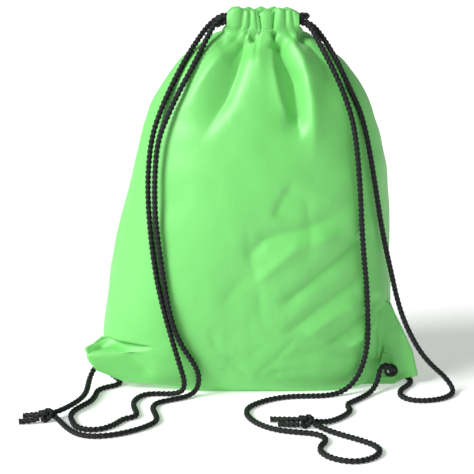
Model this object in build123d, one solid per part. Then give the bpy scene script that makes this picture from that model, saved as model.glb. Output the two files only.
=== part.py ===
from build123d import *
import math
import os

# Drawstring bag of light nylon, stuffed full and standing on its base, mouth drawn closed.
# Millimetres. +X is the bag's right as seen from the front, +Y goes back, +Z is up.
# The origin is on the floor under the bag, midway between its two bottom ears.

cloth = 1.2  # wall of the stuffed bag, cloth with its small folds
throat_z = 335.0  # where the side seams reach the middle of the bag's depth
casing_z = 362.0  # lower edge of the cord casings
top_z = 384.0

# Each panel is one cloth, kept as three bands so that collision can follow its curve
belly_z = 90.0
shoulder_z = 230.0

# Horizontal sections of the stuffed bag: height, left x, right x, half depth, squareness
sections = [
    (0.0, -108.0, 118.0, 51.0, 4.0),
    (5.0, -124.0, 128.0, 57.0, 3.4),
    (14.0, -139.0, 136.0, 63.0, 3.0),
    (30.0, -150.0, 141.0, 68.0, 2.8),
    (50.0, -155.0, 143.0, 72.5, 2.6),
    (80.0, -152.5, 144.5, 76.5, 2.5),
    (110.0, -147.0, 144.0, 79.0, 2.4),
    (140.0, -140.5, 142.5, 80.0, 2.3),
    (170.0, -133.5, 141.0, 80.0, 2.3),
    (200.0, -126.5, 139.0, 78.5, 2.2),
    (230.0, -119.0, 136.0, 75.0, 2.2),
    (260.0, -111.0, 130.0, 69.0, 2.2),
    (290.0, -100.0, 119.0, 60.5, 2.2),
    (315.0, -85.0, 105.0, 51.0, 2.3),
    (335.0, -68.0, 88.0, 41.0, 2.4),
    (350.0, -47.0, 67.0, 27.0, 3.0),
    (362.0, -28.0, 50.0, 17.0, 4.0),
]

# Side seam, seen from the side: vertical through the ears, then back to the middle at the throat
ear_y = -30.0
ear_top_z = 90.0

ear_cloth = 1.0  # each layer of cloth in an ear
patch_thickness = 0.8
right_ear = [(174, 9), (159, 6.5), (150, 0.3), (110, 0.3), (95, 40), (115, 92), (147, 76), (155, 62),
             (167, 36)]
left_ear = [(-172, 41), (-168, 29), (-161, 20), (-134, 8.5), (-112, 1.5), (-95, 25), (-120, 72), (-156, 58)]
right_patch = [(171, 11), (158, 9), (149, 3), (126, 3), (126, 34), (163, 34)]
left_patch = [(-168, 39), (-165, 30), (-159, 23.5), (-136, 14), (-132, 44), (-154, 52)]
right_eyelet_at = (145.0, 15.0)
left_eyelet_at = (-156.0, 30.0)

hole_radius = 4.0
barrel_radius = 4.7
flange_radius = 7.0
flange_thickness = 0.8
flange_round = 0.5

casing_left = -24.0
casing_right = 46.0
casing_inner_y = 7.5
casing_outer_y = 16.5
casing_wall = 0.8

seam_width = 8.0
seam_thickness = 1.4
bottom_seam_left = -90.0
bottom_seam_right = 100.0
bottom_seam_top = 40.0

thread = 0.4
stitch_width = 0.6
casing_stitch_length = 2.4
casing_stitch_step = 3.2
casing_stitch_z = casing_z + 1.2
corner_stitch_length = 2.2
corner_stitch_step = 3.4
left_corner_line = [(-151, 54), (-169.5, 40), (-166.3, 29.6), (-159.8, 21.3), (-134, 10.8)]
right_corner_line = [(151, 61), (164.5, 36), (171, 10.8), (157.5, 8.5), (149, 2.5), (130, 2.5)]
bar_tack_length = 6.0
bar_tack_height = 1.4

# Past every part of the object, for solids that only cut
far_x = 300.0
far_y = 200.0
far_below = -20.0
far_above = 400.0

cord = 5.0
cord_y = 12.0  # middle of each casing
left_cord_z = 376.0
right_cord_z = 370.5
knot_radius = 6.8
knot_stretch = (1.15, 0.95, 1.0)
left_knot_turn = 10.0
right_knot_turn = -15.0

# Cord routes, each a list of points chosen along the cord
left_bight = [(46, -12, 376), (50, -12, 376), (53.5, -9.5, 376), (55, -4, 376), (55, 4, 376),
              (53.5, 9.5, 376), (50, 12, 376), (46, 12, 376)]
right_bight = [(-24, -12, 370.5), (-28.5, -12, 370.5), (-33, -8, 368.5), (-34.5, 0, 367.5),
               (-33, 7, 368), (-28.5, 12, 370.5), (-24, 12, 370.5)]
left_inner = [
    (-24, -12, 376), (-29, -12, 376), (-35, -14, 371), (-41, -18, 362), (-48, -26, 348), (-58, -36, 329),
    (-69, -43, 310),
    (-80, -48, 288), (-92, -53, 260), (-95, -59, 226), (-95, -65, 190), (-91, -71, 155), (-86, -75, 118),
    (-80, -77, 84), (-71, -77, 59), (-60, -75, 42), (-53, -72, 27), (-53, -69, 14), (-57, -68, 5),
    (-66, -76, 2.6), (-82, -84, 2.6), (-95, -92, 2.6), (-98, -106, 2.6), (-93, -124, 2.6),
    (-91, -138, 2.6), (-97, -150, 2.6), (-113, -165, 2.6), (-132, -175, 2.6), (-150, -178, 2.6),
    (-164, -172, 2.6), (-176, -156, 2.6), (-184, -141, 3.4), (-190, -134, 5.5),
]
left_outer = [
    (-24, 12, 376), (-29, 12, 376), (-37, 11, 371.5), (-46, 3, 363), (-55, -11, 351),
    (-65, -25, 336), (-76, -34, 316),
    (-88, -39, 291), (-98, -44, 263), (-102, -50, 231), (-102, -57, 196), (-99, -64.5, 160),
    (-94, -70, 124), (-87, -73.5, 92), (-79, -75, 62), (-72, -75, 37), (-67, -73, 18), (-69, -69, 6),
    (-80, -67, 2.6), (-94, -66, 2.6), (-106, -67, 2.6), (-114, -76, 2.6), (-118, -92, 2.6),
    (-115, -108, 2.6), (-111, -122, 2.6), (-115, -130, 2.6), (-124, -134, 2.6), (-131, -149, 2.6),
    (-142, -160, 2.6), (-155, -162, 2.6), (-167, -155, 2.6), (-172, -141, 2.6), (-176, -127, 2.6),
    (-174, -112, 2.6), (-167, -99, 2.6), (-160, -87, 2.6), (-157, -71, 2.6), (-157, -57, 2.6),
    (-150, -48, 2.6), (-139, -42, 2.6), (-135, -33, 2.6), (-139, -22, 2.8), (-150, -14, 7),
    (-157, -11, 16), (-159, -12, 25), (-156, -19, 30), (-156, -34, 30),
    (-159, -40, 25), (-163, -45, 18), (-165, -53, 14), (-165, -66, 12), (-165, -80, 10.5),
    (-167, -92, 9.5), (-171, -105, 9.5), (-178, -116, 8.5), (-186, -124, 7), (-192, -130, 7),
]
right_front = [
    (46, -12, 370.5), (52, -12, 370.5), (59, -15, 365), (65, -21, 354), (73, -32, 339), (82, -40, 322),
    (91, -46, 301), (99, -51, 277), (103, -58, 247), (106, -62, 214), (108, -63, 180), (111, -62, 146),
    (115, -60, 113), (117, -57, 82), (118, -56, 56), (115, -56, 35), (109, -57, 19), (100, -61, 8),
    (88, -66, 2.6), (74, -72, 2.6), (57, -73, 2.6), (39, -74, 2.6), (22, -80, 2.6), (8, -90, 2.6),
    (-3, -103, 2.6), (-6, -118, 2.6), (-2, -134, 2.6), (8, -150, 2.6), (23, -162, 2.6), (40, -167, 2.6),
    (56, -170, 2.6), (66, -177, 2.6), (68, -189, 2.6), (61, -201, 2.6), (61, -215, 2.6), (71, -229, 2.6),
    (89, -236, 2.6), (106, -229, 2.6), (116, -213, 2.6), (112, -198, 2.6), (98, -185, 2.6),
    (82, -173, 2.6), (68, -162, 3.5), (58, -155, 6),
]
right_outer = [
    (46, 12, 370.5), (52, 12, 370.5), (62, 5, 366), (71, -9, 355), (80, -24, 341), (89, -34, 323),
    (98, -37, 304), (107, -41, 285), (113, -45, 262), (118, -49, 236), (123, -49, 208), (128, -47, 180),
    (134, -43, 152), (141, -42, 124), (147, -43, 98), (154, -46, 76), (163, -51, 57), (173, -56, 41),
    (184, -58, 29), (195, -56, 19), (203, -54, 9), (206, -60, 3), (201, -71, 2.6), (190, -81, 2.6),
    (175, -86, 2.6), (161, -85, 2.6), (152, -77, 2.6), (150, -64, 2.6), (155, -51, 2.6), (163, -40, 2.6),
    (167, -29, 2.6), (164, -18, 3), (157, -13, 8), (149, -16, 14), (145, -23, 15), (145, -31, 15),
    (145, -37, 17), (142, -42, 23), (137, -45, 26), (132, -48, 23), (130, -51, 15), (127, -56, 8),
    (121, -64, 3), (111, -77, 2.6), (101, -88, 2.6), (95, -95, 2.6), (95, -104, 2.6), (97, -111, 2.6),
    (92, -123, 2.6), (80, -137, 2.6), (69, -145, 3.5), (59, -149, 6),
]
left_tails = [
    [(-204, -133, 6.5), (-209, -130, 5.5), (-214, -128, 4), (-221, -127, 2.7)],
    [(-204, -139, 5), (-209, -140, 4), (-215, -141, 3), (-223, -141, 2.7)],
]
right_tails = [
    [(45, -147, 7), (35, -144, 6), (28, -140, 4.5), (18, -136, 3)],
    [(45, -152, 4), (36, -151, 3.4), (31, -149, 3), (25, -147, 2.7)],
]
left_knot_at = (-198, -135, 6.9)
right_knot_at = (51, -151, 7.2)


def bag_section(left, right, depth, squareness, z, inset):
    """A closed horizontal outline, from nearly oval to nearly square."""
    middle = (left + right) / 2
    half = (right - left) / 2 - inset
    depth = depth - inset
    points = []
    count = 28
    for i in range(count):
        turn = 2 * math.pi * (i + 0.5) / count
        c = math.cos(turn)
        s = math.sin(turn)
        x = middle + half * math.copysign(abs(c) ** (2 / squareness), c)
        y = depth * math.copysign(abs(s) ** (2 / squareness), s)
        points.append((x, y, z))
    return Face(Wire(Edge.make_spline([Vector(*p) for p in points], periodic=True)))


def bag_solid(inset):
    """The bag's body up to the casings, with its surface moved inwards."""
    faces = []
    for z, left, right, depth, squareness in sections:
        lifted = inset + z * (casing_z - inset) / casing_z
        faces.append(bag_section(left, right, depth, squareness, lifted, inset))
    return loft(faces, ruled=True)


def block(x0, x1, y0, y1, z0, z1):
    """A box between two corners."""
    return Pos((x0 + x1) / 2, (y0 + y1) / 2, (z0 + z1) / 2) * Box(x1 - x0, y1 - y0, z1 - z0)


def level_slab(z0, z1):
    """All the room between two heights."""
    return block(-far_x, far_x, -far_y, far_y, z0, z1)


def seam_line(offset):
    """The side seam as seen from the side, moved back by an offset."""
    return [(ear_y + offset, far_below), (ear_y + offset, ear_top_z), (offset, throat_z), (offset, far_above)]


def across(outline):
    """A solid from an outline of y and z, wide enough to cut the whole bag."""
    wire = Polyline(*[(-far_x, y, z) for y, z in outline], close=True)
    return extrude(make_face(wire), amount=2 * far_x, dir=(1, 0, 0))


def plate(outline, y0, y1):
    """A flat plate from an outline of x and z, between two depths."""
    wire = Polyline(*[(x, y0, z) for x, z in outline], close=True)
    return extrude(make_face(wire), amount=y1 - y0, dir=(0, 1, 0))


def rod(x, z, radius, y0, y1):
    """A cylinder along Y."""
    return extrude(Plane((x, y0, z), z_dir=(0, 1, 0)) * Circle(radius), amount=y1 - y0)


def cord_tube(name, points):
    """A round tube along straight runs joined by arcs, each as large as its two runs allow."""
    corners = [Vector(*p) for p in points]
    radii = []
    for before, here, after in zip(corners, corners[1:], corners[2:]):
        first = here - before
        second = after - here
        half_turn = math.radians(first.get_angle(second)) / 2
        radii.append(0.45 * min(first.length, second.length) / math.tan(half_turn))
    path = FilletPolyline(*corners, radius=radii)
    tube = sweep(Plane(path @ 0, z_dir=path % 0) * Circle(cord / 2), path=path)
    section_times_length = math.pi * cord ** 2 / 4 * path.length
    print(f"{name}: {path.length:.0f} mm, smallest radius {min(radii):.1f},",
          f"volume ratio {tube.volume / section_times_length:.4f}, radii",
          " ".join(f"{r:.0f}" for r in radii))
    return tube


def straight_cord(y, z):
    """A cord lying straight in its casing."""
    start = Plane((casing_left, y, z), z_dir=(1, 0, 0))
    return extrude(start * Circle(cord / 2), amount=casing_right - casing_left)


def casing(side):
    """A flat hem tube, open at both ends, on the front (-1) or the back (+1)."""
    y0, y1 = sorted((side * casing_inner_y, side * casing_outer_y))
    outside = block(casing_left, casing_right, y0, y1, casing_z, top_z)
    inside = block(casing_left - 1, casing_right + 1, y0 + casing_wall, y1 - casing_wall,
                   casing_z + casing_wall, top_z - casing_wall)
    return outside - inside


def casing_stitching(side):
    """The row of stitches on the outside of a casing's lower edge."""
    y0, y1 = sorted((side * casing_outer_y, side * (casing_outer_y + thread)))
    stitches = []
    x = casing_left + 1.5
    while x < casing_right - 2:
        end = x + casing_stitch_length
        stitches.append(block(x, end, y0, y1, casing_stitch_z, casing_stitch_z + stitch_width))
        x += casing_stitch_step
    return Compound(children=stitches)


def bar_tack(x):
    """The dense stitches at the foot of the slit between the two casings."""
    half = bar_tack_length / 2
    return block(x, x + cloth, -half, half, casing_z, casing_z + bar_tack_height)


def eyelet(x, z):
    """Barrel and rolled front flange."""
    front = ear_y - patch_thickness / 2 - ear_cloth
    back = ear_y + patch_thickness / 2 + ear_cloth
    flange = rod(x, z, flange_radius, front - flange_thickness, front)
    rolled = flange.faces().sort_by(Axis.Y)[0].outer_wire().edges()
    flange = fillet(rolled, flange_round)
    barrel = rod(x, z, barrel_radius, front, back + flange_thickness)
    return flange + barrel - rod(x, z, hole_radius, front - 5, back + 5)


def washer(x, z):
    """The ring pressed on the barrel behind the ear."""
    back = ear_y + patch_thickness / 2 + ear_cloth
    ring = rod(x, z, flange_radius, back, back + flange_thickness)
    return ring - rod(x, z, barrel_radius, back - 1, back + 2)


def corner_stitching(points):
    """Stitches along an ear's two free edges, on its front face."""
    front = ear_y - patch_thickness / 2 - ear_cloth
    stitches = []
    for start, end in zip(points, points[1:]):
        run = Vector(end[0] - start[0], 0, end[1] - start[1])
        steps = int(run.length // corner_stitch_step)
        for i in range(steps):
            at = Vector(start[0], front - thread / 2, start[1]) + run * ((i + 0.5) / steps)
            tilt = math.degrees(math.atan2(run.Z, run.X))
            stitches.append(Location(at, (0, -tilt, 0)) * Box(corner_stitch_length, thread, stitch_width))
    return Compound(children=stitches)


def knot(at, turn):
    """An overhand knot as a plump rounded lump."""
    return Pos(*at) * Rot(0, 0, turn) * scale(Sphere(knot_radius), by=knot_stretch)


# Bag body
outer = bag_solid(0)
inner = bag_solid(cloth)
shell = outer - inner
front_side = across(seam_line(0) + [(-far_y, far_above), (-far_y, far_below)])

front_layer = (ear_y - patch_thickness / 2 - ear_cloth, ear_y - patch_thickness / 2)
middle_layer = (ear_y - patch_thickness / 2, ear_y + patch_thickness / 2)
back_layer = (ear_y + patch_thickness / 2, ear_y + patch_thickness / 2 + ear_cloth)
through_ear = (ear_y - 10, ear_y + 10)


def ear_plates(layer):
    """Both ears' cloth in one layer, trimmed where they run into the bag, with eyelet holes."""
    plates = []
    for outline, at in ((left_ear, left_eyelet_at), (right_ear, right_eyelet_at)):
        ear = plate(outline, *layer) - outer - rod(*at, barrel_radius, *through_ear)
        plates.append(ear)
    return plates


def patch_plate(outline, at):
    """The reinforcement between an ear's two layers."""
    return plate(outline, *middle_layer) - outer - rod(*at, barrel_radius, *through_ear)


def panel_bands(panel, layer):
    """A panel cut level into its base with the ears, its belly and its shoulder."""
    base = panel & level_slab(far_below, belly_z)
    for ear in ear_plates(layer):
        base = base + ear
    belly = panel & level_slab(belly_z, shoulder_z)
    shoulder = panel & level_slab(shoulder_z, far_above)
    return base, belly, shoulder


front_base, front_belly, front_shoulder = panel_bands(shell & front_side, front_layer)
back_base, back_belly, back_shoulder = panel_bands(shell - front_side, back_layer)

# Seam allowances inside the bag
allowance = inner - bag_solid(cloth + seam_width)
seam_slab = across(seam_line(-seam_thickness / 2) + seam_line(seam_thickness / 2)[::-1])
allowance = allowance & seam_slab & level_slab(far_below, throat_z)
bottom_part = block(bottom_seam_left, bottom_seam_right, -far_y, far_y, far_below, bottom_seam_top)

nodes = {
    "front_panel_base": front_base,
    "front_panel_belly": front_belly,
    "front_panel_shoulder": front_shoulder,
    "back_panel_base": back_base,
    "back_panel_belly": back_belly,
    "back_panel_shoulder": back_shoulder,
    "front_casing": casing(-1),
    "back_casing": casing(1),
    "front_casing_stitching": casing_stitching(-1),
    "back_casing_stitching": casing_stitching(1),
    "left_slit_bar_tack": bar_tack(sections[-1][1]),
    "right_slit_bar_tack": bar_tack(sections[-1][2] - cloth),
    "bottom_seam": allowance & bottom_part,
    "left_side_seam": (allowance - bottom_part) & block(-far_x, 0, -far_y, far_y, far_below, far_above),
    "right_side_seam": (allowance - bottom_part) & block(0, far_x, -far_y, far_y, far_below, far_above),
    "left_corner_patch": patch_plate(left_patch, left_eyelet_at),
    "right_corner_patch": patch_plate(right_patch, right_eyelet_at),
    "left_corner_stitching": corner_stitching(left_corner_line),
    "right_corner_stitching": corner_stitching(right_corner_line),
    "left_eyelet": eyelet(*left_eyelet_at),
    "right_eyelet": eyelet(*right_eyelet_at),
    "left_eyelet_washer": washer(*left_eyelet_at),
    "right_eyelet_washer": washer(*right_eyelet_at),
    "left_cord_front_run": straight_cord(-cord_y, left_cord_z),
    "left_cord_back_run": straight_cord(cord_y, left_cord_z),
    "left_cord_bight": cord_tube("left_cord_bight", left_bight),
    "left_cord_inner_strand": cord_tube("left_cord_inner_strand", left_inner),
    "left_cord_outer_strand": cord_tube("left_cord_outer_strand", left_outer),
    "left_cord_knot": knot(left_knot_at, left_knot_turn),
    "left_cord_tails": Compound(children=[cord_tube("left tail", t) for t in left_tails]),
    "right_cord_front_run": straight_cord(-cord_y, right_cord_z),
    "right_cord_back_run": straight_cord(cord_y, right_cord_z),
    "right_cord_bight": cord_tube("right_cord_bight", right_bight),
    "right_cord_front_strand": cord_tube("right_cord_front_strand", right_front),
    "right_cord_outer_strand": cord_tube("right_cord_outer_strand", right_outer),
    "right_cord_knot": knot(right_knot_at, right_knot_turn),
    "right_cord_tails": Compound(children=[cord_tube("right tail", t) for t in right_tails]),
}

os.makedirs("parts", exist_ok=True)
for name, shape in nodes.items():
    export_step(shape, f"parts/{name}.step")
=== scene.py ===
import bpy
import bmesh
import math
import numpy as np
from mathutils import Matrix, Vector, noise
from mathutils.kdtree import KDTree


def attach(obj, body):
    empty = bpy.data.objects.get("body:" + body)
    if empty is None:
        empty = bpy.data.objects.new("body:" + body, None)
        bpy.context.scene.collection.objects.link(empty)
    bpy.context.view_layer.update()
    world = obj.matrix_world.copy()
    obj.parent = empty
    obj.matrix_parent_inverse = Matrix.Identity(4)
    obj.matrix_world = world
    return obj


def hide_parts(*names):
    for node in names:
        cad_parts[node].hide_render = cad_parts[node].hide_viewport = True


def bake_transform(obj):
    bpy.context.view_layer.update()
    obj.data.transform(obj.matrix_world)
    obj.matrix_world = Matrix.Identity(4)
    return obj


# Drawstring bag of light green nylon, stuffed and standing, mouth drawn closed by two black cords
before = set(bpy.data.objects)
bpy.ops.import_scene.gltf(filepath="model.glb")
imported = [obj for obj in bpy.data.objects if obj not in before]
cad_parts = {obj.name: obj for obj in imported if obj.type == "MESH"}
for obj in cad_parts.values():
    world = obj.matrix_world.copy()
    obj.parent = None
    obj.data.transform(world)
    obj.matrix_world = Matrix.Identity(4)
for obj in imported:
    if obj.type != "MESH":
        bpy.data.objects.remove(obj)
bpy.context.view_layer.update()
mm = 0.001
print("frame loaded")


def toLinear(hexColour):
    values = [int(hexColour[i:i + 2], 16) / 255 for i in (1, 3, 5)]
    return tuple(v / 12.92 if v <= 0.04045 else ((v + 0.055) / 1.055) ** 2.4 for v in values) + (1.0,)


def addNode(tree, kind, settings=None, inputs=None):
    node = tree.nodes.new(kind)
    for name, value in (settings or {}).items():
        setattr(node, name, value)
    for name, value in (inputs or {}).items():
        if isinstance(value, bpy.types.NodeSocket):
            tree.links.new(value, node.inputs[name])
        else:
            node.inputs[name].default_value = value
    return node


def newMaterial(name):
    material = bpy.data.materials.new(name)
    material.use_nodes = True
    material.node_tree.nodes.clear()
    return material, material.node_tree


def smoothStep(a, b, values):
    t = np.clip((values - a) / (b - a), 0, 1)
    return t * t * (3 - 2 * t)


# Camera
camera = {"place": (-0.0145, -1.30, 0.47), "pitch": 13.84, "lens": 98.2}
cameraData = bpy.data.cameras.new("camera")
cameraData.lens = camera["lens"]
cameraData.sensor_width = 36
cameraObject = bpy.data.objects.new("camera", cameraData)
cameraObject.location = camera["place"]
cameraObject.rotation_euler = (math.radians(90 - camera["pitch"]), 0, 0)
bpy.context.collection.objects.link(cameraObject)
bpy.context.scene.camera = cameraObject
bpy.context.scene.view_settings.view_transform = "Standard"  # keeps the cloth's strong green

# Materials
nylon = {
    "body": "#84ea7b",
    "deep": "#79e26f",
    "weavePeriod": 5.658,  # mm, far coarser than the cloth's own yarns, which are about 0.2 mm apart
    "weaveHeight": 0.05,
    "letsThrough": 0.22,  # share of the light that comes through the cloth
}


# Polyamide taffeta, woven and calendered: a soft sheen, faint crumples, and light coming through it
def makeNylon():
    material, tree = newMaterial("wovenNylonTaffeta")
    place = addNode(tree, "ShaderNodeTexCoord")
    blotch = addNode(tree, "ShaderNodeTexNoise", None,
                     {"Vector": place.outputs["Object"], "Scale": 18.0, "Detail": 3.0})
    colour = addNode(tree, "ShaderNodeMix", {"data_type": "RGBA"},
                     {"Factor": blotch.outputs["Fac"], "A": toLinear(nylon["body"]),
                      "B": toLinear(nylon["deep"])})
    waves = 2 * math.pi / 20 / (nylon["weavePeriod"] * mm)  # a Wave texture repeats every 2 pi / 20 units
    warp = addNode(tree, "ShaderNodeTexWave", {"bands_direction": "X"},
                   {"Vector": place.outputs["Object"], "Scale": waves, "Distortion": 0.6})
    weft = addNode(tree, "ShaderNodeTexWave", {"bands_direction": "Z"},
                   {"Vector": place.outputs["Object"], "Scale": waves, "Distortion": 0.6})
    weave = addNode(tree, "ShaderNodeMath", {"operation": "MULTIPLY"},
                    {0: warp.outputs["Fac"], 1: weft.outputs["Fac"]})
    crumple = addNode(tree, "ShaderNodeTexNoise", None,
                      {"Vector": place.outputs["Object"], "Scale": 42.0, "Detail": 5.0, "Roughness": 0.55})
    soft = addNode(tree, "ShaderNodeBump", None,
                   {"Height": crumple.outputs["Fac"], "Strength": 0.16, "Distance": 0.006})
    fine = addNode(tree, "ShaderNodeBump", None,
                   {"Height": weave.outputs[0], "Normal": soft.outputs["Normal"], "Strength": 0.22,
                    "Distance": nylon["weaveHeight"] * mm})
    cloth = addNode(tree, "ShaderNodeBsdfPrincipled", None,
                    {"Base Color": colour.outputs["Result"], "Roughness": 0.5, "IOR": 1.53,
                     "Specular IOR Level": 0.85, "Sheen Weight": 0.3, "Sheen Roughness": 0.4,
                     "Normal": fine.outputs["Normal"]})
    through = addNode(tree, "ShaderNodeBsdfTranslucent", None,
                      {"Color": colour.outputs["Result"], "Normal": fine.outputs["Normal"]})
    both = addNode(tree, "ShaderNodeMixShader", None,
                   {"Fac": nylon["letsThrough"], 1: cloth.outputs[0], 2: through.outputs[0]})
    addNode(tree, "ShaderNodeOutputMaterial", None, {"Surface": both.outputs[0]})
    return material


nylonCloth = makeNylon()


# Spun polyester thread, twisted from three plies: small dull stitches a little lighter than the cloth
def makeThread():
    material, tree = newMaterial("twistedPolyesterThread")
    place = addNode(tree, "ShaderNodeTexCoord")
    ply = addNode(tree, "ShaderNodeTexWave", {"bands_direction": "DIAGONAL"},
                  {"Vector": place.outputs["Object"], "Scale": 500.0})
    # painted highlight on the ply tops and painted shade between the plies: the colour follows the same wave
    # as the bump
    colour = addNode(tree, "ShaderNodeMix", {"data_type": "RGBA"},
                     {"Factor": ply.outputs["Fac"], "A": toLinear("#8fe886"), "B": toLinear("#c2fbbc")})
    bump = addNode(tree, "ShaderNodeBump", None,
                   {"Height": ply.outputs["Fac"], "Strength": 0.5, "Distance": 0.0001})
    shader = addNode(tree, "ShaderNodeBsdfPrincipled", None,
                     {"Base Color": colour.outputs["Result"], "Roughness": 0.6, "Sheen Weight": 0.2,
                      "Normal": bump.outputs["Normal"]})
    addNode(tree, "ShaderNodeOutputMaterial", None, {"Surface": shader.outputs[0]})
    return material


sewingThread = makeThread()


# Polyester filament, braided: near-black yarns that catch light along their length, with a painted highlight
# on the raised strands and painted shade in the gaps between them
def makeBraid():
    material, tree = newMaterial("braidedPolyesterFilament")
    lay = addNode(tree, "ShaderNodeUVMap", {"uv_map": "braid"})
    yarn = addNode(tree, "ShaderNodeTexWave", {"bands_direction": "DIAGONAL"},
                   {"Vector": lay.outputs["UV"], "Scale": 60.0, "Distortion": 1.2, "Detail": 1.0})
    lift = addNode(tree, "ShaderNodeAttribute", {"attribute_name": "strandHeight"})
    # painted highlight and painted shade: strands that stand up are coloured lighter, the gaps between them
    # darker
    shade = addNode(tree, "ShaderNodeMix", {"data_type": "RGBA"},
                    {"Factor": lift.outputs["Fac"], "A": toLinear("#010102"), "B": toLinear("#1e2023")})
    bump = addNode(tree, "ShaderNodeBump", None,
                   {"Height": yarn.outputs["Fac"], "Strength": 0.35, "Distance": 0.0002})
    shader = addNode(tree, "ShaderNodeBsdfPrincipled", None,
                     {"Base Color": shade.outputs["Result"], "Roughness": 0.48, "IOR": 1.45,
                      "Specular IOR Level": 0.34, "Sheen Weight": 0.02, "Sheen Roughness": 0.4,
                      "Normal": bump.outputs["Normal"]})
    addNode(tree, "ShaderNodeOutputMaterial", None, {"Surface": shader.outputs[0]})
    return material


braidedCord = makeBraid()


# Brass, stamped and blackened: dark metal with faint brighter scuffs
def makeBlackenedBrass():
    material, tree = newMaterial("stampedBlackenedBrass")
    place = addNode(tree, "ShaderNodeTexCoord")
    scuff = addNode(tree, "ShaderNodeTexNoise", None,
                    {"Vector": place.outputs["Object"], "Scale": 700.0, "Detail": 4.0})
    colour = addNode(tree, "ShaderNodeMix", {"data_type": "RGBA"},
                     {"Factor": scuff.outputs["Fac"], "A": toLinear("#17181a"), "B": toLinear("#3c3d40")})
    rough = addNode(tree, "ShaderNodeMapRange", None,
                    {"Value": scuff.outputs["Fac"], "To Min": 0.28, "To Max": 0.45})
    bump = addNode(tree, "ShaderNodeBump", None,
                   {"Height": scuff.outputs["Fac"], "Strength": 0.1, "Distance": 0.0001})
    shader = addNode(tree, "ShaderNodeBsdfPrincipled", None,
                     {"Base Color": colour.outputs["Result"], "Metallic": 1.0,
                      "Roughness": rough.outputs["Result"], "Normal": bump.outputs["Normal"]})
    addNode(tree, "ShaderNodeOutputMaterial", None, {"Surface": shader.outputs[0]})
    return material


blackenedBrass = makeBlackenedBrass()
print("materials made")

# Cords
braid = {
    "diameter": 5.0,
    "ringStep": 0.9,
    "sides": 20,
    "strands": 2,  # each way round
    "pitch": 10.0,  # mm for one strand to go round once
    "lift": 0.8,  # mm that a strand stands up
    "sharpness": 0.7,  # under 1 makes the strands plump with narrow gaps
    "flareRings": 4,
    "flare": 1.12,
    "fray": 0.1,
}


def splinePath(name, points):
    curve = bpy.data.curves.new(name + "Line", "CURVE")
    curve.dimensions = "3D"
    curve.resolution_u = 14
    spline = curve.splines.new("NURBS")
    spline.points.add(len(points) - 1)
    for point, at in zip(spline.points, points):
        point.co = (at[0] * mm, at[1] * mm, at[2] * mm, 1)
    spline.order_u = 3
    spline.use_endpoint_u = True
    holder = bpy.data.objects.new(name + "Line", curve)
    bpy.context.collection.objects.link(holder)
    line = bpy.data.meshes.new_from_object(holder)
    path = np.array([tuple(v.co) for v in line.vertices])
    bpy.data.objects.remove(holder)
    bpy.data.meshes.remove(line)
    return path


def evenly(path, step):
    along = np.concatenate([[0], np.cumsum(np.linalg.norm(np.diff(path, axis=0), axis=1))])
    count = max(int(along[-1] / step), 4)
    at = np.linspace(0, along[-1], count + 1)
    return np.stack([np.interp(at, along, path[:, k]) for k in range(3)], axis=1), at


# A round braid wrapped from a flat grid: two families of strands pass over and under each other
def braidTube(name, path, cutEnd=False):
    centre, along = evenly(path, braid["ringStep"] * mm)
    sides = braid["sides"]
    tangent = np.gradient(centre, axis=0)
    tangent /= np.linalg.norm(tangent, axis=1)[:, None]
    across = np.zeros_like(centre)
    guide = Vector((0, 0, 1)) if abs(tangent[0][2]) < 0.8 else Vector((0, 1, 0))
    previous = guide.cross(Vector(tangent[0])).normalized()
    for i, t in enumerate(tangent):
        t = Vector(t)
        previous = (previous - t * previous.dot(t)).normalized()
        across[i] = previous
    up = np.cross(tangent, across)
    mesh = bpy.data.meshes.new(name)
    bm = bmesh.new()
    bmesh.ops.create_grid(bm, x_segments=len(centre) - 1, y_segments=sides, size=0.5)
    bm.verts.ensure_lookup_table()
    uvLayer = bm.loops.layers.uv.new("braid")
    height = bm.verts.layers.float.new("strandHeight")
    spots = [(round((v.co.x + 0.5) * (len(centre) - 1)), (v.co.y + 0.5)) for v in bm.verts]
    for face in bm.faces:
        for loop in face.loops:
            row, turn = spots[loop.vert.index]
            loop[uvLayer].uv = (turn, along[row] / (math.pi * braid["diameter"] * mm))
    strands = braid["strands"]
    radius = braid["diameter"] / 2
    for vert, (row, turn) in zip(bm.verts, spots):
        spin = turn * 2 * math.pi
        twist = 2 * math.pi * along[row] / (braid["pitch"] * mm)
        one = strands * (spin + twist) / 2
        other = strands * (spin - twist) / 2
        bump = abs(math.sin(one) * math.sin(other)) ** braid["sharpness"]
        vert[height] = bump
        reach = (radius - braid["lift"] * 0.75 + braid["lift"] * 1.5 * bump) * mm
        if cutEnd and row > len(centre) - braid["flareRings"]:
            reach *= braid["flare"] + braid["fray"] * math.sin(spin * 5)  # the cut end flares and frays
        vert.co = centre[row] + reach * (math.cos(spin) * across[row] + math.sin(spin) * up[row])
        vert.co.z = max(vert.co.z, 0.05 * mm)  # the soft cord flattens where it lies
    bmesh.ops.remove_doubles(bm, verts=bm.verts, dist=1e-6)
    bmesh.ops.holes_fill(bm, edges=[e for e in bm.edges if e.is_boundary], sides=0)
    bmesh.ops.recalc_face_normals(bm, faces=bm.faces)
    for face in bm.faces:
        face.smooth = True
    bm.to_mesh(mesh)
    bm.free()
    piece = bpy.data.objects.new(name, mesh)
    bpy.context.collection.objects.link(piece)
    mesh.materials.append(braidedCord)
    return piece, centre, float(along[-1])


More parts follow.
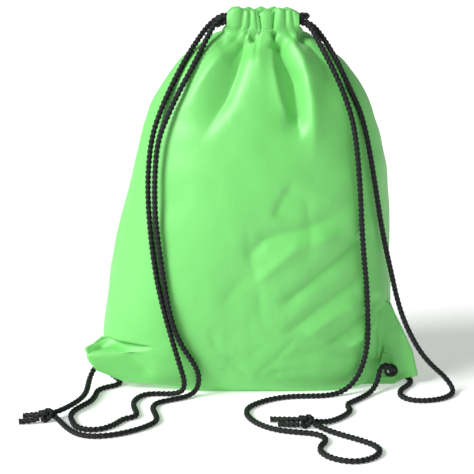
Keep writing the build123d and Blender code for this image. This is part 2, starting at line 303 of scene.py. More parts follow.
leftCord = {
    "frontLoop": [(-24, -12, 376), (0, -12, 376), (24, -12, 376), (44, -12, 376), (50, -12, 376),
                  (53.5, -9.5, 376), (55, -4, 376), (55, 0, 376)],
    "backLoop": [(-24, 12, 376), (0, 12, 376), (24, 12, 376), (44, 12, 376), (50, 12, 376),
                 (53.5, 9.5, 376), (55, 4, 376), (55, 0, 376)],
    "inner": [
        (-24, -12, 376), (-29, -12, 376), (-35, -14, 371), (-41, -18, 362), (-48, -26, 348), (-58, -36, 329),
        (-69, -43, 310),
        (-80, -48, 288), (-92, -53, 260), (-95, -59, 226), (-95, -65, 190), (-91, -71, 155), (-86, -75, 118),
        (-80, -77, 84), (-71, -77, 59), (-60, -75, 42), (-53, -72, 27), (-53, -69, 14), (-57, -68, 5),
        (-66, -76, 2.6), (-82, -84, 2.6), (-95, -92, 2.6), (-98, -106, 2.6), (-93, -124, 2.6),
        (-91, -138, 2.6), (-97, -150, 2.6), (-113, -165, 2.6), (-132, -175, 2.6), (-150, -178, 2.6),
        (-164, -172, 2.6), (-176, -156, 2.6), (-184, -141, 3.4), (-190, -134, 5.5)],
    "outer": [
        (-24, 12, 376), (-29, 12, 376), (-37, 11, 371.5), (-46, 3, 363), (-55, -11, 351),
        (-65, -25, 336), (-76, -34, 316),
        (-88, -39, 291), (-98, -44, 263), (-102, -50, 231), (-102, -57, 196), (-99, -64.5, 160),
        (-94, -70, 124), (-87, -73.5, 92), (-79, -75, 62), (-72, -75, 37), (-67, -73, 18), (-69, -69, 6),
        (-80, -67, 2.6), (-94, -66, 2.6), (-106, -67, 2.6), (-114, -76, 2.6), (-118, -92, 2.6),
        (-115, -108, 2.6), (-111, -122, 2.6), (-115, -130, 2.6), (-124, -134, 2.6), (-131, -149, 2.6),
        (-142, -160, 2.6), (-155, -162, 2.6), (-167, -155, 2.6), (-172, -141, 2.6), (-176, -127, 2.6),
        (-174, -112, 2.6), (-167, -99, 2.6), (-160, -87, 2.6), (-157, -71, 2.6), (-157, -57, 2.6),
        (-150, -48, 2.6), (-139, -42, 2.6), (-135, -33, 2.6), (-139, -22, 2.8), (-150, -14, 7),
        (-157, -11, 16), (-159, -12, 25), (-156, -19, 30), (-156, -34, 30),
        (-159, -40, 25), (-163, -45, 18), (-165, -53, 14), (-165, -66, 12), (-165, -80, 10.5),
        (-167, -92, 9.5), (-171, -105, 9.5), (-178, -116, 8.5), (-186, -124, 7), (-192, -130, 7)],
    "tails": [
        [(-204, -133, 6.5), (-209, -130, 5.5), (-214, -128, 4), (-221, -127, 2.7)],
        [(-204, -139, 5), (-209, -140, 4), (-215, -141, 3), (-223, -141, 2.7)]],
    "knot": (-198, -135, 6.9),
    "knotTurn": 10,
}
rightCord = {
    "frontLoop": [(46, -12, 370.5), (24, -12, 370.5), (0, -12, 370.5), (-22, -12, 370.5),
                  (-28.5, -12, 370.5), (-33, -9, 368.5), (-34.5, -4, 367.5), (-34.5, 0, 367.5)],
    "backLoop": [(46, 12, 370.5), (24, 12, 370.5), (0, 12, 370.5), (-22, 12, 370.5), (-28.5, 12, 370.5),
                 (-33, 8, 368), (-34.5, 4, 367.5), (-34.5, 0, 367.5)],
    "front": [
        (46, -12, 370.5), (52, -12, 370.5), (59, -15, 365), (65, -21, 354), (73, -32, 339), (82, -40, 322),
        (91, -46, 301), (99, -51, 277), (103, -58, 247), (106, -62, 214), (108, -63, 180), (111, -62, 146),
        (115, -60, 113), (117, -57, 82), (118, -56, 56), (115, -56, 35), (109, -57, 19), (100, -61, 8),
        (88, -66, 2.6), (74, -72, 2.6), (57, -73, 2.6), (39, -74, 2.6), (22, -80, 2.6), (8, -90, 2.6),
        (-3, -103, 2.6), (-6, -118, 2.6), (-2, -134, 2.6), (8, -150, 2.6), (23, -162, 2.6), (40, -167, 2.6),
        (56, -170, 2.6), (66, -177, 2.6), (68, -189, 2.6), (61, -201, 2.6), (61, -215, 2.6), (71, -229, 2.6),
        (89, -236, 2.6), (106, -229, 2.6), (116, -213, 2.6), (112, -198, 2.6), (98, -185, 2.6),
        (82, -173, 2.6), (68, -162, 3.5), (58, -155, 6)],
    "outer": [
        (46, 12, 370.5), (52, 12, 370.5), (62, 5, 366), (71, -9, 355), (80, -24, 341), (89, -34, 323),
        (98, -37, 304), (107, -41, 285), (113, -45, 262), (118, -49, 236), (123, -49, 208), (128, -47, 180),
        (134, -43, 152), (141, -42, 124), (147, -43, 98), (154, -46, 76), (163, -51, 57), (173, -56, 41),
        (184, -58, 29), (195, -56, 19), (203, -54, 9), (206, -60, 3), (201, -71, 2.6), (190, -81, 2.6),
        (175, -86, 2.6), (161, -85, 2.6), (152, -77, 2.6), (150, -64, 2.6), (155, -51, 2.6), (163, -40, 2.6),
        (167, -29, 2.6), (164, -18, 3), (157, -13, 8), (149, -16, 14), (145, -23, 15), (145, -31, 15),
        (145, -37, 17), (142, -42, 23), (137, -45, 26), (132, -48, 23), (130, -51, 15), (127, -56, 8),
        (121, -64, 3), (111, -77, 2.6), (101, -88, 2.6), (95, -95, 2.6), (95, -104, 2.6), (97, -111, 2.6),
        (92, -123, 2.6), (80, -137, 2.6), (69, -145, 3.5), (59, -149, 6)],
    "tails": [
        [(45, -147, 7), (35, -144, 6), (28, -140, 4.5), (18, -136, 3)],
        [(45, -152, 4), (36, -151, 3.4), (31, -149, 3), (25, -147, 2.7)]],
    "knot": (51, -151, 7.2),
    "knotTurn": -15,
}


knotLobes = {"points": 60, "across": 1.95, "upright": 1.75, "deep": 2.6}


# An overhand knot pulled tight: three lobes of the same braid
def makeKnot(name, at, turn):
    lobes = []
    heading = math.radians(turn)
    for i in range(knotLobes["points"]):
        t = 2 * math.pi * i / (knotLobes["points"] - 1)
        x = (math.sin(t) + 2 * math.sin(2 * t)) * knotLobes["across"]
        z = (math.cos(t) - 2 * math.cos(2 * t)) * knotLobes["upright"]
        y = -math.sin(3 * t) * knotLobes["deep"]
        lobes.append(((at[0] + x * math.cos(heading) - y * math.sin(heading)) * mm,
                      (at[1] + x * math.sin(heading) + y * math.cos(heading)) * mm, (at[2] + z) * mm))
    piece, _, _ = braidTube(name, np.array(lobes))
    return piece


cordPaths = []


def makeStrand(name, points, replaced):
    piece, centre, length = braidTube(name, splinePath(name, points))
    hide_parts(replaced)
    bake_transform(piece)
    cordPaths.append(centre)
    return piece, centre, length


# One casing run with half of the bight that joins it to the other casing
def makeLoop(name, points, replaced):
    piece, centre, length = braidTube(name, splinePath(name, points))
    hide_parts(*replaced)
    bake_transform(piece)


for cordName, cordSizes, strandNames in (("leftCord", leftCord, ("inner", "outer")),
                                         ("rightCord", rightCord, ("front", "outer"))):
    nodeSide = "left_cord_" if cordName == "leftCord" else "right_cord_"
    for side, word in ((-1, "front"), (1, "back")):
        makeLoop(cordName + word.title() + "Loop", cordSizes[word + "Loop"],
                 [nodeSide + word + "_run", nodeSide + "bight"])
    knot = makeKnot(cordName + "Knot", cordSizes["knot"], cordSizes["knotTurn"])
    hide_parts(nodeSide + "knot")
    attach(knot, "bag")
    for number, tailPoints in enumerate(cordSizes["tails"]):
        tail, _, _ = braidTube(f"{cordName}Tail{number + 1}", splinePath("tail", tailPoints), cutEnd=True)
        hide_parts(nodeSide + "tails")
        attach(tail, "bag")
    for strandName, body in zip(strandNames, ("front_mouth", "back_mouth")):
        piece, centre, length = makeStrand(cordName + strandName.title() + "Strand", cordSizes[strandName],
                                           nodeSide + strandName + "_strand")
        print(cordName, strandName, round(length * 1000), "mm")
print("cords made")

# Cloth panels
# Horizontal sections of the stuffed bag: height, left x, right x, half depth, squareness
sections = np.array([
    (0.0, -108.0, 118.0, 51.0, 4.0),
    (5.0, -124.0, 128.0, 57.0, 3.4),
    (14.0, -139.0, 136.0, 63.0, 3.0),
    (30.0, -150.0, 141.0, 68.0, 2.8),
    (50.0, -155.0, 143.0, 72.5, 2.6),
    (80.0, -152.5, 144.5, 76.5, 2.5),
    (110.0, -147.0, 144.0, 79.0, 2.4),
    (140.0, -140.5, 142.5, 80.0, 2.3),
    (170.0, -133.5, 141.0, 80.0, 2.3),
    (200.0, -126.5, 139.0, 78.5, 2.2),
    (230.0, -119.0, 136.0, 75.0, 2.2),
    (260.0, -111.0, 130.0, 69.0, 2.2),
    (290.0, -100.0, 119.0, 60.5, 2.2),
    (315.0, -85.0, 105.0, 51.0, 2.3),
    (335.0, -68.0, 88.0, 41.0, 2.4),
    (350.0, -47.0, 67.0, 27.0, 3.0),
    (362.0, -28.0, 50.0, 17.0, 4.0),
])

panel = {
    "columns": 160,
    "pleatColumns": 26,
    "thickness": 0.6,
    "flat": (0.376, 0.450),
    "seamY": -30.0,
    "seamTop": 90.0,
    "throat": 335.0,
    "casingZ": 362.0,
    "casingLeft": -24.0,
    "casingRight": 46.0,
    "casingOuter": 16.0,
    "casingInner": 8.0,
    "rowSteps": (1.7, 2.5, 1.5),  # low, middle and high on the bag
    "casingRows": 14,
    "overFloor": 0.45,
    "pleatLength": 30,  # cloth in the first columns, which take the ear's pleat
    "eyeletGap": 5.2,
}

# Slow swells and small crumples of the cloth: height and size
swells = {"wide": (2.0, 70.0), "middle": (0.9, 26.0), "low": (0.35, 9.0), "back": (1.1, 15.0)}

# The free edges of the two bottom ears: height and x
leftEar = [(0.4, -108), (1.5, -112), (8.5, -134), (20, -161), (29, -168), (38.5, -172), (40.5, -170),
           (43, -164), (45.5, -158), (48, -153), (51, -148)]
rightEar = [(0.4, 148), (6.5, 159), (9, 173.5), (36, 167), (62, 155), (76, 148), (88, 143)]
# The left ear's front layer doubles back on itself: x from the free edge, and y
leftEarPleat = {"points": [(27, -38), (22, -44), (0.6, -44.6), (2.4, -47)], "width": 23, "merge": 50,
                "opens": (1, 9), "closes": (35, 48), "top": 51}

# Folds of the front: points (x, z) along each, height (negative is a valley), reach to each side of it,
# how much wider it is at its far end, and how far the ends fade
frontFolds = [
    dict(line=[(-4, 358), (-8, 350), (-15, 326), (-25, 302), (-36, 284), (-54, 254)],
         high=-9, left=11, right=5, grow=1.8, fade=(6, 60)),
    dict(line=[(-19, 352), (-34, 335), (-52, 310), (-74, 275)],
         high=5.5, left=8, right=8, grow=1.8, fade=(20, 50)),
    dict(line=[(-24, 358), (-46, 336), (-68, 306), (-84, 270)],
         high=-3.5, left=5, right=6, grow=1.8, fade=(12, 50)),
    dict(line=[(-27, 356), (-52, 334), (-80, 300), (-94, 262)],
         high=3, left=5, right=6, grow=1.5, fade=(12, 60)),
    dict(line=[(-4, 357.5), (7, 357)],
         high=-6.5, left=4, right=2.5, grow=1, fade=(4, 4)),
    dict(line=[(21.5, 386), (21, 366), (22, 353)],
         high=-6, left=1.6, right=2.4, grow=1, fade=(1, 5)),
    dict(line=[(24, 358), (29, 348), (43, 318), (46, 292), (47, 258)],
         high=-12, left=10, right=4.5, grow=1.5, fade=(8, 30)),
    dict(line=[(20, 352), (21, 330), (26, 306), (38, 272)],
         high=3, left=5, right=3, grow=1.3, fade=(6, 24)),
    dict(line=[(8, 350), (8, 320), (6, 290)],
         high=4, left=15, right=13, grow=1.4, fade=(14, 60)),
    dict(line=[(37, 356), (49, 336), (57, 300), (60, 262), (60, 230)],
         high=6, left=7, right=9, grow=1.7, fade=(8, 60)),
    dict(line=[(47, 362), (64, 344), (80, 328), (100, 296)],
         high=-9, left=9, right=5, grow=1.8, fade=(6, 40)),
    dict(line=[(50, 356), (78, 332), (104, 296), (116, 256)],
         high=4.5, left=8, right=9, grow=1.5, fade=(10, 50)),
    dict(line=[(24, 94), (62, 127), (101, 158), (126, 172)],
         high=-4.2, left=5, right=8, grow=1.3, fade=(24, 30)),
    dict(line=[(-9, 143), (13, 167), (47, 175), (101, 195)],
         high=-3.4, left=6, right=8, grow=1.3, fade=(22, 34)),
    dict(line=[(-5, 115), (44, 158), (91, 168)],
         high=3.0, left=8, right=6, grow=1.2, fade=(30, 24)),
    dict(line=[(20, 186), (30, 206), (44, 226)],
         high=-2.6, left=4, right=16, grow=1.3, fade=(10, 16)),
    dict(line=[(30, 66), (67, 95), (96, 115), (122, 130)],
         high=-3.2, left=5, right=6, grow=1.3, fade=(20, 24)),
    dict(line=[(52, 64), (84, 84), (112, 97)],
         high=2.8, left=6, right=5, grow=1.2, fade=(18, 16)),
    dict(line=[(74, 54), (100, 70), (120, 88), (132, 102)],
         high=-3.6, left=5, right=5, grow=1.2, fade=(16, 12)),
    dict(line=[(96, 47), (117, 62), (136, 82)],
         high=3.0, left=4, right=4, grow=1.2, fade=(12, 10)),
    dict(line=[(-32, 96), (-12, 122), (6, 136)],
         high=-1.6, left=7, right=9, grow=1.2, fade=(16, 20)),
    dict(line=[(140, 26), (110, 40), (70, 48), (30, 44)],
         high=-2.4, left=4, right=6, grow=1.6, fade=(8, 40)),
    dict(line=[(135, 88), (133, 60), (137, 30), (140, 8)],
         high=-4.5, left=5, right=4, grow=1, fade=(6, 8)),
    dict(line=[(148, 84), (151, 62), (157, 38)],
         high=-1.2, left=3, right=3, grow=1.3, fade=(4, 14)),
    dict(line=[(1, 16), (-18, 34), (-37, 55), (-41, 80)],
         high=-0.8, left=2.5, right=3.5, grow=1.4, fade=(4, 20)),
    dict(line=[(1, 16), (26, 44), (52, 74)],
         high=-0.8, left=2.5, right=3.5, grow=1.4, fade=(4, 20)),
    dict(line=[(-4, 18), (-30, 26), (-58, 30)],
         high=-0.7, left=2.5, right=3, grow=1.4, fade=(4, 24)),
    dict(line=[(6, 18), (40, 28), (74, 32)],
         high=-0.7, left=2.5, right=3, grow=1.4, fade=(4, 24)),
    dict(line=[(-150, 58), (-132, 48), (-112, 30), (-100, 12)],
         high=-2.2, left=6, right=7, grow=1.2, fade=(8, 14)),
    dict(line=[(-6, 190), (-2, 150), (8, 110), (10, 70)],
         high=-1.2, left=5, right=6, grow=1.3, fade=(30, 30)),
    dict(line=[(52, 214), (58, 170), (52, 130)],
         high=-1.3, left=5, right=7, grow=1.2, fade=(24, 24)),
]
backFolds = [
    dict(line=[(-16, 360), (-34, 330), (-60, 282), (-78, 226)],
         high=-9, left=6, right=8, grow=2.2, fade=(6, 70)),
    dict(line=[(-2, 360), (-12, 326), (-24, 280), (-30, 240)],
         high=6, left=7, right=7, grow=2, fade=(8, 60)),
    dict(line=[(8, 360), (6, 320), (2, 268), (-6, 220)],
         high=-10, left=5, right=8, grow=2.2, fade=(6, 70)),
    dict(line=[(22, 360), (32, 322), (40, 280)],
         high=6, left=7, right=7, grow=2, fade=(8, 50)),
    dict(line=[(34, 360), (52, 326), (72, 280), (84, 220)],
         high=-9, left=6, right=8, grow=2.2, fade=(6, 70)),
    dict(line=[(46, 358), (78, 326), (104, 286)],
         high=4.5, left=6, right=7, grow=1.6, fade=(8, 40)),
    dict(line=[(-26, 358), (-56, 330), (-86, 286)],
         high=4.5, left=6, right=7, grow=1.6, fade=(8, 40)),
    dict(line=[(140, 30), (90, 66), (30, 84)],
         high=-3.5, left=6, right=8, grow=1.6, fade=(10, 40)),
    dict(line=[(-146, 34), (-96, 66), (-40, 80)],
         high=-3.5, left=6, right=8, grow=1.6, fade=(10, 40)),
    dict(line=[(136, 60), (96, 104), (50, 136)],
         high=3, left=7, right=8, grow=1.5, fade=(10, 40)),
    dict(line=[(-140, 64), (-98, 100), (-56, 128)],
         high=3, left=7, right=8, grow=1.5, fade=(10, 40)),
    dict(line=[(-20, 200), (-10, 150), (-16, 90)],
         high=-2, left=7, right=9, grow=1.3, fade=(30, 30)),
]
# Gathers of the casings: x, height, reach
frontGathers = [(-16, 1.4, 6), (-9.5, -1.2, 2.2), (-5.5, 0.8, 2), (-2, -1.5, 1.3), (2.5, 0.8, 2.2),
                (5, -0.9, 1.0), (8.3, -2.4, 1.1), (14.5, 1.3, 4.5), (21.3, -3.0, 1.3), (27.5, 1.6, 4.2),
                (33.5, -0.9, 1.4), (37, 0.8, 2.2), (41, -1.0, 1.3)]
backGathers = [(-17, 2, 4), (-9, -3, 1.6), (-3, 1.6, 3.4), (3, -3.4, 1.6), (9, 2, 4), (16, -2.8, 1.6),
               (22, 2.2, 4), (29, -3.6, 1.7), (35, 1.8, 3.4), (41, -1.8, 1.6)]
# Height of the gathered hem along the mouth: x and z
frontHem = [(-25, 377.5), (-22, 381.5), (-18, 384.5), (-13, 385.5), (-8, 384), (-3, 381.8), (1, 382.2),
            (5, 381.4), (8.3, 379.4), (11, 381.6), (17, 382), (20.5, 381), (22.5, 384), (27, 385),
            (32, 383.4), (34, 382.4), (38, 383), (42, 381.6), (47, 378.5)]
backHem = [(-25, 379), (-20, 383.5), (-13, 384.6), (-9, 382), (-3, 384.2), (3, 381.6), (9, 384.6), (16, 382),
           (22, 384.5), (29, 381.4), (35, 384), (41, 382), (47, 379)]


def sectionAt(z):
    around = [z + shift for shift in (-5, -2.5, 0, 2.5, 5)] if 8 < z < 352 else [z]
    return [float(np.mean(np.interp(around, sections[:, 0], sections[:, k]))) for k in (1, 2, 3, 4)]


def seamAt(z):
    return float(np.interp(z, [panel["seamTop"], panel["throat"]], [panel["seamY"], 0]))


def resample(points, count):
    points = np.array(points)
    along = np.concatenate([[0], np.cumsum(np.linalg.norm(np.diff(points, axis=0), axis=1))])
    at = np.linspace(0, along[-1], count)
    return np.stack([np.interp(at, along, points[:, k]) for k in (0, 1)], axis=1)


def splitAt(points, length):
    points = np.array(points)
    along = np.concatenate([[0], np.cumsum(np.linalg.norm(np.diff(points, axis=0), axis=1))])
    here = np.array([[np.interp(length, along, points[:, 0]), np.interp(length, along, points[:, 1])]])
    return np.concatenate([points[along < length], here]), np.concatenate([here, points[along > length]])


# One horizontal row of a panel, from the left seam to the right seam
def bodyRow(side, z):
    left, right, depth, squareness = sectionAt(z)
    middle, half = (left + right) / 2, (right - left) / 2
    seam = seamAt(z)
    corner = math.asin(min(1, (abs(seam) / depth) ** (squareness / 2)))
    if side < 0:
        turns = np.linspace(math.pi + corner, 2 * math.pi - corner, 500)
    else:
        turns = np.linspace(math.pi + corner, -corner, 500)
    c, s = np.cos(turns), np.sin(turns)
    xs = middle + half * np.sign(c) * np.abs(c) ** (2 / squareness)
    ys = depth * np.sign(s) * np.abs(s) ** (2 / squareness)
    ys = np.where(np.abs(c) < 1e-9, side * depth, ys)
    layerY = panel["seamY"] + side * 1.0
    body = list(zip(xs, ys))
    earLeft = float(np.interp(z, *zip(*leftEar)))
    earRight = float(np.interp(z, *zip(*rightEar)))
    leftPart = []
    if z < leftEarPleat["top"] and earLeft < body[0][0] + 2:
        if side < 0:
            ready = float(smoothStep(*leftEarPleat["opens"], z))
            ready *= float(1 - smoothStep(*leftEarPleat["closes"], z))
            folded = [(0, layerY), (leftEarPleat["width"], layerY), *leftEarPleat["points"]]
            merge = earLeft + leftEarPleat["merge"]
            target = next(p for p in body if p[0] > merge)
            for i, (dx, y) in enumerate(folded):
                flatX = earLeft + (target[0] - earLeft) * i / 9
                flatY = layerY + (target[1] - layerY) * (i / 9) ** 1.5
                leftPart.append((flatX + (earLeft + dx - flatX) * ready, flatY + (y - flatY) * ready))
            body = [p for p in body if p[0] > merge]
        else:
            leftPart = [(earLeft, layerY), (min(body[0][0] - 1, earLeft + 20), layerY)]
    rightPart = []
    if z < 88 and earRight > body[-1][0]:
        if side < 0:
            merge = body[-1][0] - 3
            body = [p for p in body if p[0] < merge or p[1] < layerY - 6]
        rightPart = [(body[-1][0] + 1.5, layerY), (earRight, layerY)]
    line = leftPart + body + rightPart
    pleatLength = panel["pleatLength"]
    if side < 0 and leftPart:
        lengths = np.linalg.norm(np.diff(np.array(leftPart), axis=0), axis=1)
        firstLength = pleatLength + (float(lengths.sum()) - pleatLength) * ready
    else:
        firstLength = pleatLength * (1 - 0.62 * max(z - 300, 0) / 62)  # less towards the gathered throat
    one, two = splitAt(line, firstLength)
    first = resample(one, panel["pleatColumns"] + 1)
    second = resample(two, panel["columns"] - panel["pleatColumns"] + 1)
    row = np.concatenate([first, second[1:]])
    for _ in range(2):
        row[1:-1] = (row[:-2] + 2 * row[1:-1] + row[2:]) / 4
    return row


# Distance of every point from a line of points, signed by side, and how far along it is
def alongFold(x, z, line):
    line = np.array(line, float)
    best = np.full(x.shape, 1e9)
    signed = np.zeros(x.shape)
    travelled = np.zeros(x.shape)
    start = 0.0
    for a, b in zip(line, line[1:]):
        run = b - a
        length = np.linalg.norm(run)
        t = ((x - a[0]) * run[0] + (z - a[1]) * run[1]) / length ** 2
        held = np.clip(t, 0, 1)
        dx, dz = x - a[0] - run[0] * held, z - a[1] - run[1] * held
        away = np.hypot(dx, dz)
        side = np.sign(run[0] * (z - a[1]) - run[1] * (x - a[0]))
        nearer = away < best
        best = np.where(nearer, away, best)
        signed = np.where(nearer, side * away, signed)
        travelled = np.where(nearer, start + held * length, travelled)
        start += length
    return signed, travelled, start


def foldHeights(x, z, folds):
    total = np.zeros(x.shape)
    for fold in folds:
        signed, travelled, whole = alongFold(x, z, fold["line"])
        wider = 1 + (fold["grow"] - 1) * travelled / whole
        leftwards = signed * np.sign(fold["line"][0][1] - fold["line"][-1][1] + 1e-6)
        reach = np.where(leftwards > 0, fold["right"], fold["left"]) * wider
        shape = np.exp(-(np.abs(signed) / reach) ** 1.4)  # a ridge sharper than it is round
        starts = smoothStep(0, fold["fade"][0], travelled)
        ends = 1 - smoothStep(whole - fold["fade"][1], whole, travelled)
        total += fold["high"] * shape * (starts * ends)
    return total


def noiseField(points, heightAndSize, seed):
    height, size = heightAndSize
    shift = Vector((seed * 17.3, seed * 5.1, seed * 9.7))
    values = [noise.noise(Vector(p) / size + shift) for p in points.reshape(-1, 3)]
    return height * np.array(values).reshape(points.shape[:2])


def gatherHeights(x, gathers):
    return sum(high * np.exp(-((x - at) / reach) ** 2) for at, high, reach in gathers)


def makePanel(side, folds, gathers, hem, seed):
    lowStep, middleStep, highStep = panel["rowSteps"]
    floorZ = panel["overFloor"]
    heights = np.concatenate([[floorZ], np.arange(1.4, 60, lowStep), np.arange(60, 328, middleStep),
                              np.arange(328, panel["casingZ"], highStep)])
    bodyRows = [np.column_stack([bodyRow(side, z), np.full(panel["columns"] + 1, z)]) for z in heights]
    edge = bodyRows[0]
    seamLine = edge.copy()
    seamLine[:, 1] = panel["seamY"] + side * 0.4
    under = [seamLine + (edge - seamLine) * k / 7 for k in range(7)]
    for row in under:
        row[:, 2] = floorZ
    # the casing: up the outside, over the top and down the inside
    foot = bodyRows[-1]
    width = panel["casingRight"] - panel["casingLeft"]
    share = (foot[:, 0] - foot[0, 0]) / (foot[-1, 0] - foot[0, 0])
    share = np.clip(share, 0, 1)
    casingX = panel["casingLeft"] - 0.5 + (width + 1) * share
    hemZ = np.interp(casingX, *zip(*hem))
    lean = 0.16 * np.sin(casingX / 5.3)
    casingRows = []
    outer, inner, casingZ = panel["casingOuter"], panel["casingInner"], panel["casingZ"]
    half = (outer - inner) / 2
    middleY = (outer + inner) / 2
    steps = panel["casingRows"]
    for k in range(1, steps + 1):
        z = casingZ + (hemZ - half * 0.8 - casingZ) * k / steps
        turn = smoothStep(361, 368, z)
        gather = gatherHeights(casingX + lean * (z - 373), gathers)
        y = foot[:, 1] + (side * outer - foot[:, 1]) * turn
        x = foot[:, 0] + (casingX - foot[:, 0]) * turn
        bulge = 1.3 * np.sin(math.pi * k / steps)
        pinch = 1 - 0.7 * np.exp(-((z - 363.8) / 1.5) ** 2)
        casingRows.append(np.column_stack([x, y + side * (bulge - 0.6 * (1 - pinch) + gather * pinch), z]))
    gather = gatherHeights(casingX + lean * 10, gathers)
    for k in range(1, 8):
        a = math.pi * k / 8
        y = side * (middleY + half * math.cos(a) + gather * (1 - 0.6 * k / 8))
        casingRows.append(np.column_stack([casingX, y, hemZ - half * 0.8 * (1 - math.sin(a))]))
    for k in range(1, 10):
        z = hemZ - half * 0.8 - (hemZ - half * 0.8 - casingZ - 1) * k / 9
        casingRows.append(np.column_stack([casingX, np.full_like(z, side * inner) + side * gather * 0.3, z]))
    rows = np.array(under + bodyRows + casingRows)
    bodyEnd = len(under) + len(bodyRows)
    down = np.gradient(rows, axis=0)
    across = np.gradient(rows, axis=1)
    normal = np.cross(down, across)
    normal /= np.maximum(np.linalg.norm(normal, axis=2), 1e-9)[:, :, None]
    middle = normal[bodyEnd // 2, panel["columns"] // 2]
    if middle[1] * side < 0:
        normal = -normal
    for _ in range(2):
        besides = normal[1:-1, :-2] + normal[1:-1, 2:]
        normal[1:-1, 1:-1] = (normal[:-2, 1:-1] + normal[2:, 1:-1] + besides) / 4
    x, z = rows[:, :, 0], rows[:, :, 2]
    lift = foldHeights(x, z, folds)
    lift += noiseField(rows, swells["wide"], seed) + noiseField(rows, swells["middle"], seed + 3)
    lift += noiseField(rows, swells["low"], seed + 5) * smoothStep(200, 40, z)
    if side > 0:
        lift += noiseField(rows * np.array([1, 1, 0.45]), swells["back"], seed + 8) * smoothStep(10, 60, z)
    # the turned hem stands up a little along the right ear's free edge
    hemEdge = np.interp(z, *zip(*rightEar))
    tab = (x > 146) & (z < 88)
    lift += np.where(tab, 0.7 * smoothStep(9.5, 8.2, hemEdge - x), 0)
    # gathers run down from the casing and die out
    u = np.linspace(0, 1, panel["columns"] + 1)[None, :]
    casingPlace = np.repeat(casingX[None, :], len(rows), axis=0)
    lift += gatherHeights(casingPlace, gathers) * 0.55 * smoothStep(325, 361, z)
    index = np.arange(len(rows))[:, None]
    lift *= np.where(index < bodyEnd, 1, 0)
    edgeFade = smoothStep(0, 0.03, u) * np.where(tab, 1, 1 - smoothStep(0.97, 1, u))
    earFade = np.where(z < 60, smoothStep(0.10, 0.22, u), 1) if side < 0 else np.ones_like(z)
    lift *= edgeFade * earFade * smoothStep(0, 14, z)
    rows = rows + normal * lift[:, :, None]
    rows[:, :, 2] = np.maximum(rows[:, :, 2], floorZ)
    return rows, normal, bodyEnd


# The cloth gives way under the cords
def pressedByCords(rows, normal):
    near = KDTree(sum(len(p) for p in cordPaths))
    count = 0
    for path in cordPaths:
        for p in path:
            near.insert(Vector(p) * 1000, count)
            count += 1
    near.balance()
    keep = braid["diameter"] / 2 + 0.85
    for j in range(rows.shape[0]):
        for i in range(rows.shape[1]):
            at, _, away = near.find(Vector(rows[j, i]))
            if away < keep:
                out = Vector(normal[j, i])
                push = keep - away
                if (Vector(rows[j, i]) - at).dot(out) > 0:
                    push = keep + away
                rows[j, i] -= np.array(out) * push
    return rows


def clothMesh(name, rows, side, holes):
    rowCount, columnCount = rows.shape[:2]
    mesh = bpy.data.meshes.new(name)
    bm = bmesh.new()
    bmesh.ops.create_grid(bm, x_segments=columnCount - 1, y_segments=rowCount - 1, size=0.5)
    for vert in bm.verts:
        i = round((vert.co.x + 0.5) * (columnCount - 1))
        j = round((vert.co.y + 0.5) * (rowCount - 1))
        vert.co = rows[j, i] * mm
    for hole in holes:
        inside = [v for v in bm.verts
                  if math.hypot(v.co.x - hole[0] * mm, v.co.z - hole[1] * mm) < panel["eyeletGap"] * mm and
                  abs(v.co.y - (panel["seamY"] + side) * mm) < 2.0 * mm]
        bmesh.ops.delete(bm, geom=inside, context="VERTS")
    for face in bm.faces:
        face.smooth = True
    # a point of the front looks towards -Y, of the back towards +Y
    belly = Vector((0, side * 0.07, 0.15))
    middleFace = min(bm.faces, key=lambda f: (f.calc_center_median() - belly).length)
    if middleFace.normal.y * side < 0 or middleFace.normal.length < 0.5:
        middleFace.normal_update()
        if middleFace.normal.y * side < 0:
            bmesh.ops.reverse_faces(bm, faces=bm.faces)
    bm.to_mesh(mesh)
    bm.free()
    piece = bpy.data.objects.new(name, mesh)
    bpy.context.collection.objects.link(piece)
    mesh.materials.append(nylonCloth)
    wall = piece.modifiers.new("wall", "SOLIDIFY")
    wall.thickness = panel["thickness"] * mm
    wall.offset = 0
    return piece


eyeletHoles = [(145, 15), (-156, 30)]
clothRows = {}
for name, side, folds, gathers, hem, seed in (("frontCloth", -1, frontFolds, frontGathers, frontHem, 1),
                                              ("backCloth", 1, backFolds, backGathers, backHem, 2)):
    rows, normal, bodyEnd = makePanel(side, folds, gathers, hem, seed)
    rows = pressedByCords(rows, normal)
    clothRows[name] = rows[bodyEnd]
    cloth = clothMesh(name, rows, side, eyeletHoles)
    word = "front" if side < 0 else "back"
    bands = [word + "_panel_" + band for band in ("base", "belly", "shoulder")]
    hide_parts(*bands, word + "_casing")
    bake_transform(cloth)
    print(name, "made")

# Stitching
stitch = {"length": 2.2, "gap": 1.0, "thick": 0.45, "proud": 0.35, "pathStep": 0.2}


def stitchRow(name, points, outward, replaced):
    mesh = bpy.data.meshes.new(name)
    bm = bmesh.new()
    path, _ = evenly(np.array(points) * mm, stitch["pathStep"] * mm)
    step = int((stitch["length"] + stitch["gap"]) / stitch["pathStep"])
    long = int(stitch["length"] / stitch["pathStep"])
    halfThick = stitch["thick"] / 2 * mm
    for k in range(2, len(path) - long - 1, step):
        a, b = Vector(path[k]), Vector(path[k + long])
        made = bmesh.ops.create_icosphere(bm, subdivisions=1, radius=1)["verts"]
        turn = (b - a).to_track_quat("X", "Z")
        for v in made:
            local = Vector((v.co.x * (b - a).length / 2, v.co.y * halfThick, v.co.z * halfThick))
            v.co = (a + b) / 2 + turn @ local + Vector(outward) * stitch["proud"] * mm
    for face in bm.faces:
        face.smooth = True
    bm.to_mesh(mesh)
    bm.free()
    piece = bpy.data.objects.new(name, mesh)
    bpy.context.collection.objects.link(piece)
    mesh.materials.append(sewingThread)
    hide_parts(replaced)
    return piece


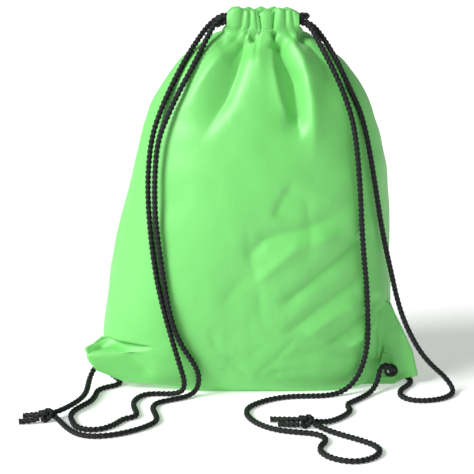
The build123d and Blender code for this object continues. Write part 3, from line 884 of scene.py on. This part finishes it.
for name, side, word in (("frontCloth", -1, "front"), ("backCloth", 1, "back")):
    row = clothRows[name]
    outside = row[row[:, 1] * side > 11]  # leaves out the ends that turn in to the slits
    casingStitches = stitchRow(word + "CasingStitches", outside, (0, side, 0), word + "_casing_stitching")
    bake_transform(casingStitches)
print("stitching made")

# CAD nodes that stay, with their finishes
finishes = {
    nylonCloth: ("bottom_seam", "left_side_seam", "right_side_seam", "left_corner_patch",
                 "right_corner_patch"),
    sewingThread: ("left_slit_bar_tack", "right_slit_bar_tack", "left_corner_stitching",
                   "right_corner_stitching"),
    blackenedBrass: ("left_eyelet", "right_eyelet", "left_eyelet_washer", "right_eyelet_washer"),
}
for material, nodeNames in finishes.items():
    for nodeName in nodeNames:
        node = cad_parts[nodeName]
        node.data.materials.clear()
        node.data.materials.append(material)

# Floor and light
stage = {
    "floor": 16.0,
    "floorGlow": 0.3,  # the floor gives off a little light, so that it stays pale in the shadow
    "sun": 3.75,
    "sunSpread": 26,
    "sunHeading": (0.98, 0.50, -0.78),
    "sky": 0.29,
}


# Painted board, rolled matt: a plain pale floor that takes soft shadows
def makeFloorPaint():
    material, tree = newMaterial("rolledMattPaint")
    place = addNode(tree, "ShaderNodeTexCoord")
    stipple = addNode(tree, "ShaderNodeTexNoise", None, {"Vector": place.outputs["Object"], "Scale": 300.0})
    bump = addNode(tree, "ShaderNodeBump", None,
                   {"Height": stipple.outputs["Fac"], "Strength": 0.02, "Distance": 0.0005})
    shader = addNode(tree, "ShaderNodeBsdfPrincipled", None,
                     {"Base Color": toLinear("#f7f7f7"), "Roughness": 0.75, "Normal": bump.outputs["Normal"],
                      "Emission Color": (1, 1, 1, 1), "Emission Strength": stage["floorGlow"]})
    addNode(tree, "ShaderNodeOutputMaterial", None, {"Surface": shader.outputs[0]})
    return material


bm = bmesh.new()
bmesh.ops.create_grid(bm, x_segments=1, y_segments=1, size=stage["floor"])
floorMesh = bpy.data.meshes.new("floor")
bm.to_mesh(floorMesh)
bm.free()
floor = bpy.data.objects.new("floor", floorMesh)
floorMesh.materials.append(makeFloorPaint())
bpy.context.collection.objects.link(floor)

# A wide soft light from the front left, high up
sunData = bpy.data.lights.new("windowLight", "SUN")
sunData.energy = stage["sun"]
sunData.angle = math.radians(stage["sunSpread"])
sun = bpy.data.objects.new("windowLight", sunData)
sun.rotation_euler = Vector(stage["sunHeading"]).to_track_quat("-Z", "Y").to_euler()
bpy.context.collection.objects.link(sun)

world = bpy.data.worlds.new("studioWhite")
world.use_nodes = True
world.node_tree.nodes["Background"].inputs["Color"].default_value = (1, 1, 1, 1)
world.node_tree.nodes["Background"].inputs["Strength"].default_value = stage["sky"]
bpy.context.scene.world = world
print("stage made")
